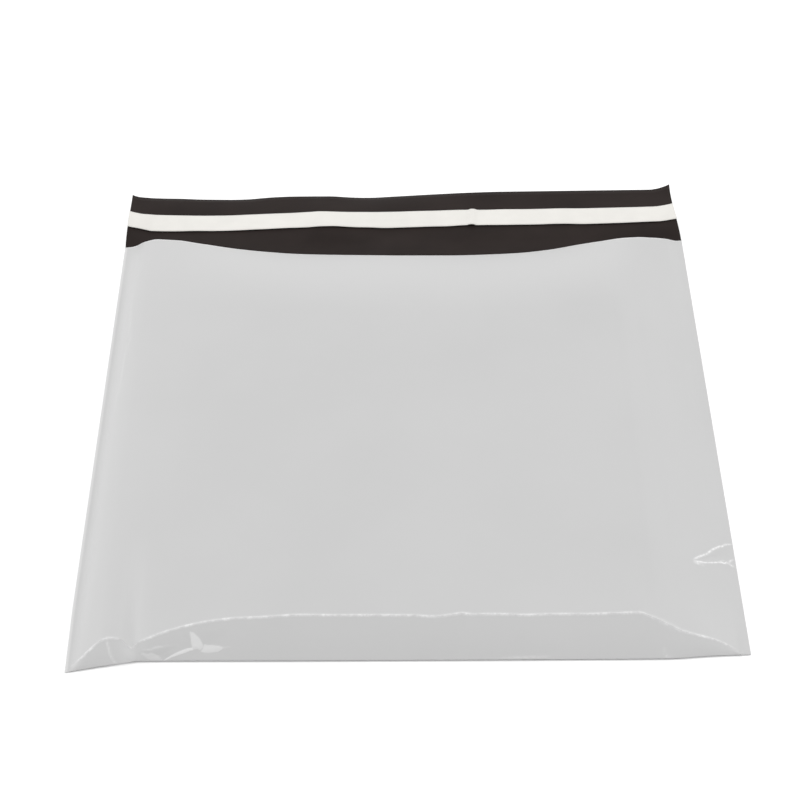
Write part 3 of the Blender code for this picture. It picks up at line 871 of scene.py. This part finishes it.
def cloudy_tone(tree, noise, colour, darkest, lightest):
    """The colour, made darker or lighter with the noise."""
    share = from_range(tree, noise, *NOISE_RANGE, 0.0, 1.0)
    return colour_mix(tree, share, shade(colour, darkest), shade(colour, lightest))


def finish_surface(tree, shader, colour, noise, roughness, height, strength, distance):
    """Links the shader's colour, a roughness between two values that follows the noise, and
    a bump."""
    tree.links.new(colour, shader.inputs["Base Color"])
    rough = from_range(tree, noise, *NOISE_RANGE, *roughness)
    tree.links.new(rough, shader.inputs["Roughness"])
    bump = add_node(tree, "Bump", Strength=strength, Distance=distance, Height=height)
    tree.links.new(bump.outputs[0], shader.inputs["Normal"])


def outside_film(colours):
    """Semi-gloss grey film: faint clouds of tone, drawn lines along its length, fine pits,
    and highlights painted along creases, which break up along their length, and over facets."""
    material, tree, shader, place = start_material("grey film outside", colours.grey, 0.4, 0.5)
    clouds = stretched_noise(tree, place, EVEN, 14.0, 3.0)
    drawn = stretched_noise(tree, place, DRAWN_LINES, 1.0)
    pits = stretched_noise(tree, place, EVEN, 1500.0, 1.0)
    glints = stretched_noise(tree, place, EVEN, 620.0)
    grey = cloudy_tone(tree, clouds, colours.grey, 0.985, 1.015)
    # Painted highlights: along creases, broken up by the glints, and steady over facets
    crease = add_node(tree, "Attribute", {"attribute_name": "painted_highlight"}).outputs["Fac"]
    steady_highlight = add_node(tree, "Attribute", {"attribute_name": "steady_highlight"}).outputs["Fac"]
    broken = from_range(tree, glints, 0.35, 0.62, 0.4, 1.0)
    share = arithmetic(tree, "MAXIMUM", arithmetic(tree, "MULTIPLY", crease, broken), steady_highlight)
    colour = colour_mix(tree, share, grey, tuple(colours.painted_highlight))
    height = arithmetic(tree, "MULTIPLY_ADD", drawn, 0.35, pits)
    finish_surface(tree, shader, colour, clouds, (0.36, 0.44), height, 0.12, 0.0001)
    return material


def inside_film(colours):
    """Near-black, duller film with faint drawn lines and a soft unevenness."""
    material, tree, shader, place = start_material("black film inside", colours.black, 0.6, 0.06)
    clouds = stretched_noise(tree, place, EVEN, 30.0, 4.0)
    drawn = stretched_noise(tree, place, DRAWN_LINES, 1.0)
    black = cloudy_tone(tree, clouds, colours.black, 0.85, 1.2)
    height = arithmetic(tree, "MULTIPLY_ADD", drawn, 0.3, clouds)
    finish_surface(tree, shader, black, clouds, (0.55, 0.65), height, 0.2, 0.0002)
    return material


def liner_paper(colours):
    """Warm white coated paper: soft blotches of tone and a fine fibre."""
    material, tree, shader, place = start_material("release liner paper", colours.liner, 0.5, 0.35)
    blotches = stretched_noise(tree, place, EVEN, 85.0, 3.0)
    fibre = stretched_noise(tree, place, (260, 900, 900), 1.0, 3.0)
    white = cloudy_tone(tree, blotches, colours.liner, 0.975, 1.02)
    finish_surface(tree, shader, white, blotches, (0.44, 0.56), fibre, 0.15, 0.0001)
    return material


def cloudy_glue(colours):
    """Cloudy adhesive with soft ridges from its nozzle."""
    material, tree, shader, place = start_material("cloudy adhesive", colours.glue, 0.3, 0.5)
    clouds = stretched_noise(tree, place, EVEN, 160.0, 3.0)
    ridges = stretched_noise(tree, place, (12, 1300, 12), 1.0, 1.0)
    glue = cloudy_tone(tree, clouds, colours.glue, 0.9, 1.06)
    finish_surface(tree, shader, glue, clouds, (0.24, 0.38), ridges, 0.3, 0.0001)
    return material


class MAILER_OT_film(bpy.types.Operator):
    """Make the folded and welded film: front panel, back panel and flap in one sheet"""

    bl_idname = "mailer.film"
    bl_label = "Folded film"
    bl_options = {"REGISTER", "UNDO"}

    def execute(self, context):
        size, colours = context.scene.mailer_sizes, context.scene.mailer_colours
        places, faces, painted_highlight, steady_highlight, thin = film_sheet(size)
        materials = (outside_film(colours), inside_film(colours))
        add_piece("bag_film", places, faces, materials, "mailer_film",
                  size.film, -1.0, {"painted_highlight": painted_highlight, "steady_highlight": steady_highlight}, thin)
        return {"FINISHED"}


class MAILER_OT_adhesive(bpy.types.Operator):
    """Make the adhesive strip on the inner side of the flap"""

    bl_idname = "mailer.adhesive"
    bl_label = "Adhesive strip"
    bl_options = {"REGISTER", "UNDO"}

    def execute(self, context):
        size, colours = context.scene.mailer_sizes, context.scene.mailer_colours
        from_edge = size.liner_from_edge + (size.liner_width - size.adhesive_width) / 2
        lift = size.film + size.layer_gap
        places, faces, _, _ = strip_sheet(
            from_edge, size.adhesive_width, lift, ADHESIVE_EDGE_WAVE, size)
        add_piece("glue_strip", places, faces, (cloudy_glue(colours),), "adhesive_strip",
                  size.strip, 1.0, {}, ())
        return {"FINISHED"}


class MAILER_OT_liner(bpy.types.Operator):
    """Make the release liner over the adhesive, with the small kink across it"""

    bl_idname = "mailer.liner"
    bl_label = "Release liner"
    bl_options = {"REGISTER", "UNDO"}

    def execute(self, context):
        size, colours = context.scene.mailer_sizes, context.scene.mailer_colours
        lift = size.film + 2 * size.layer_gap + size.strip
        places, faces, x, share = strip_sheet(
            size.liner_from_edge, size.liner_width, lift, LINER_EDGE_WAVE, size)
        kink = np.exp(-(((x - KINK_PLACE - KINK_LEAN * share) / KINK_WIDTH) ** 4))
        waves = ripple(x, ((0.046, 0.8), (0.071, 3.3), (0.029, 5.1)))
        places[:, 2] += KINK_HEIGHT * kink + LINER_WAVE * (1 + waves)
        add_piece("liner_strip", places, faces, (liner_paper(colours),), "release_liner",
                  size.strip, 1.0, {}, ())
        return {"FINISHED"}


# The floor, and how its glow goes out close to the film as a painted contact shadow
FLOOR_REACH = 4.0
FLOOR_HEIGHT = -0.0004
FLOOR_GLOW = 0.4
SHADED_WITHIN = 0.0015
SHADED_POWER = 3.0

WORLD_STRENGTH = 0.94
# Softboxes round the bag: place, width, depth and power
SOFTBOXES = {
    "left": ((-1.6, 0.0, 0.8), 1.0, 1.0, 4.98),
    "right": ((1.6, 0.0, 0.8), 1.0, 1.0, 4.14),
    "back": ((0.0, 2.2, 0.55), 2.0, 0.8, 2.64),
    "front": ((0.0, -2.0, 0.7), 2.0, 0.8, 1.21),
    "left back": ((-1.5, 1.5, 0.7), 1.0, 0.8, 1.26),
    "right back": ((1.5, 1.5, 0.7), 1.0, 0.8, 1.05),
}

# The camera, with its turns in radians, and its lens and sensor in millimetres
CAMERA_PLACE = (0.0024, -0.94885, 0.8367)
CAMERA_PITCH = 0.721723093
CAMERA_YAW = 0.00549292792
CAMERA_ROLL = -0.0161460694
CAMERA_LENS = 98.498
CAMERA_SENSOR = 36.0
CAMERA_FARTHEST = 50.0


def add_softbox(name, place, width, depth, power):
    """A rectangular lamp that faces the middle of the bag."""
    light = bpy.data.lights.new(name, "AREA")
    light.shape = "RECTANGLE"
    light.size = width
    light.size_y = depth
    light.energy = power
    lamp = bpy.data.objects.new(name, light)
    turn = (Vector((0, 0, 0)) - Vector(place)).to_track_quat("-Z", "Y")
    lamp.matrix_world = Matrix.Translation(place) @ turn.to_matrix().to_4x4()
    bpy.context.scene.collection.objects.link(lamp)


def seen_share(tree):
    """1 for rays that show the surroundings: straight from the camera, in gloss or through
    film."""
    path = add_node(tree, "LightPath").outputs
    shown = arithmetic(tree, "MAXIMUM", path["Is Camera Ray"], path["Is Glossy Ray"])
    return arithmetic(tree, "MAXIMUM", shown, path["Is Transmission Ray"])


def add_floor(colour):
    """A wide floor that takes the bag's shadow and is white where nothing shades it. Its
    glow goes out under the bag's edges, close to the film, as a painted contact shadow."""
    signs = ((-1, -1), (1, -1), (1, 1), (-1, 1))
    corners = [(x * FLOOR_REACH, y * FLOOR_REACH, FLOOR_HEIGHT) for x, y in signs]
    mesh = bpy.data.meshes.new("floor")
    mesh.from_pydata(corners, [], [(0, 1, 2, 3)])
    material = bpy.data.materials.new("white floor")
    material.use_nodes = True
    tree = material.node_tree
    tree.nodes.clear()
    output = add_node(tree, "OutputMaterial")
    diffuse = add_node(tree, "BsdfDiffuse", Color=tuple(colour))
    # Painted contact shadow: the glow is cut where the film is near
    shading = add_node(tree, "AmbientOcclusion", {"samples": 8}, Distance=SHADED_WITHIN)
    open_share = arithmetic(tree, "POWER", shading.outputs["AO"], SHADED_POWER)
    seen_glow = arithmetic(tree, "MULTIPLY", seen_share(tree), FLOOR_GLOW)
    level = arithmetic(tree, "MULTIPLY", seen_glow, open_share)
    glow = add_node(tree, "Emission", Strength=level)
    both = add_node(tree, "AddShader", _0=diffuse.outputs[0], _1=glow.outputs[0])
    tree.links.new(both.outputs[0], output.inputs["Surface"])
    mesh.materials.append(material)
    floor = bpy.data.objects.new("floor", mesh)
    bpy.context.scene.collection.objects.link(floor)


def set_world():
    """Even white light all round, which shows as plain white."""
    world = bpy.data.worlds.new("white room")
    world.use_nodes = True
    tree = world.node_tree
    background = tree.nodes["Background"]
    background.inputs["Color"].default_value = (1.0, 1.0, 1.0, 1.0)
    level = from_range(tree, seen_share(tree), 0.0, 1.0, WORLD_STRENGTH, 1.0)
    tree.links.new(level, background.inputs["Strength"])
    bpy.context.scene.world = world


def add_camera():
    """The camera at the photograph's viewing angle: pitched down, then turned and rolled a
    little."""
    data = bpy.data.cameras.new("photograph")
    data.sensor_width = CAMERA_SENSOR
    data.sensor_fit = "HORIZONTAL"
    data.lens = CAMERA_LENS
    data.clip_end = CAMERA_FARTHEST
    camera = bpy.data.objects.new("photograph", data)
    turn = Matrix.Rotation(CAMERA_YAW, 4, "Z")
    pitch = Matrix.Rotation(math.pi / 2 - CAMERA_PITCH, 4, "X")
    roll = Matrix.Rotation(CAMERA_ROLL, 4, "Z")
    camera.matrix_world = Matrix.Translation(CAMERA_PLACE) @ turn @ pitch @ roll
    bpy.context.scene.collection.objects.link(camera)
    bpy.context.scene.camera = camera


class MAILER_OT_stage(bpy.types.Operator):
    """Set the stage: white floor, soft light all round, softboxes and the camera"""

    bl_idname = "mailer.stage"
    bl_label = "Stage"
    bl_options = {"REGISTER", "UNDO"}

    def execute(self, context):
        add_floor(context.scene.mailer_colours.floor)
        set_world()
        for name, (place, width, depth, power) in SOFTBOXES.items():
            add_softbox(name + " softbox", place, width, depth, power)
        add_camera()
        context.scene.view_settings.view_transform = "Standard"
        return {"FINISHED"}


OPERATORS = (MAILER_OT_film, MAILER_OT_adhesive, MAILER_OT_liner, MAILER_OT_stage)


class MAILER_PT_panel(bpy.types.Panel):
    """Lists the sizes and colours of the bag and the pieces to make"""

    bl_idname = "MAILER_PT_panel"
    bl_label = "Poly Mailer Bag"
    bl_space_type = "VIEW_3D"
    bl_region_type = "UI"
    bl_category = "Mailer"

    def draw(self, context):
        for group in (context.scene.mailer_sizes, context.scene.mailer_colours):
            column = self.layout.column(align=True)
            for name in group.__annotations__:
                column.prop(group, name)
        for operator in OPERATORS:
            self.layout.operator(operator.bl_idname)


CLASSES = (MailerSizes, MailerColours, *OPERATORS, MAILER_PT_panel)


def register():
    """Adds the classes, and the bag's sizes and colours to the scene."""
    for cls in CLASSES:
        bpy.utils.register_class(cls)
    bpy.types.Scene.mailer_sizes = PointerProperty(type=MailerSizes)
    bpy.types.Scene.mailer_colours = PointerProperty(type=MailerColours)


def unregister():
    """Takes away what register adds, in the opposite order."""
    del bpy.types.Scene.mailer_colours
    del bpy.types.Scene.mailer_sizes
    for cls in reversed(CLASSES):
        bpy.utils.unregister_class(cls)


def main():
    """Makes the pieces and the stage in order."""
    register()
    bpy.ops.mailer.film()
    bpy.ops.mailer.adhesive()
    bpy.ops.mailer.liner()
    bpy.ops.mailer.stage()


if __name__ == "__main__":
    main()
